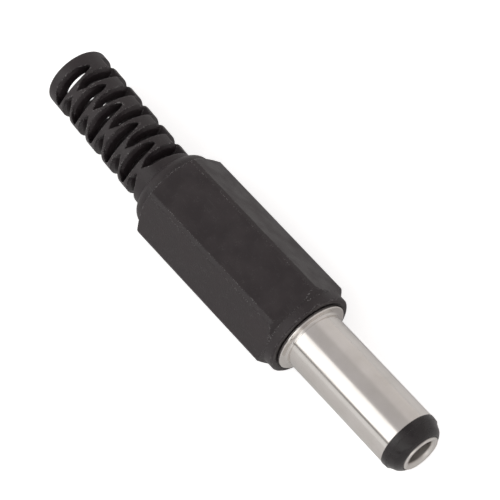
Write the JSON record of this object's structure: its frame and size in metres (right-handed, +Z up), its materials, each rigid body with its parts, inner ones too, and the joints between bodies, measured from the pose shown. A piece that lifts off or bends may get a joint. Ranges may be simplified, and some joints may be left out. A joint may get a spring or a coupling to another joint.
{
  "type": "dc barrel plug",
  "caption": "Round DC power plug with a plated barrel, insulated nose, and a black screw-on hexagonal cover that ends in a slotted bend relief.",
  "frame": {"origin": "on the plug's axis at the root of the straight barrel, where the flange's fillet ends", "axes": "+X along the barrel towards the nose, +Z up with the plug lying on one flat of the hexagon, +Y to the left of the nose"},
  "size_m": [0.0469, 0.0092, 0.0082],
  "materials": {
    "moulded_cover": "black moulded plastic, satin, with fine scuffs",
    "plated_barrel": "nickel plating, satin, slightly warm",
    "nose_plastic": "black moulded plastic, smooth",
    "plated_contact": "nickel plating, bright",
    "fibre_washer": "brown fibre board",
    "tinned_sheet": "tinned sheet, dull"
  },
  "bodies": {
    "cover": {"cover": "moulded_cover"},
    "plug": {"outer_sleeve": "plated_barrel", "nose_insulator": "nose_plastic", "centre_contact": "plated_contact", "insulating_washer": "fibre_washer", "sleeve_terminal": "tinned_sheet", "centre_terminal": "tinned_sheet"}
  },
  "joints": [
    {"name": "cover_unscrew", "type": "slide", "parent": "cover", "child": "plug", "axis": [1, 0, 0], "range_m": [0, 0.018]}
  ]
}
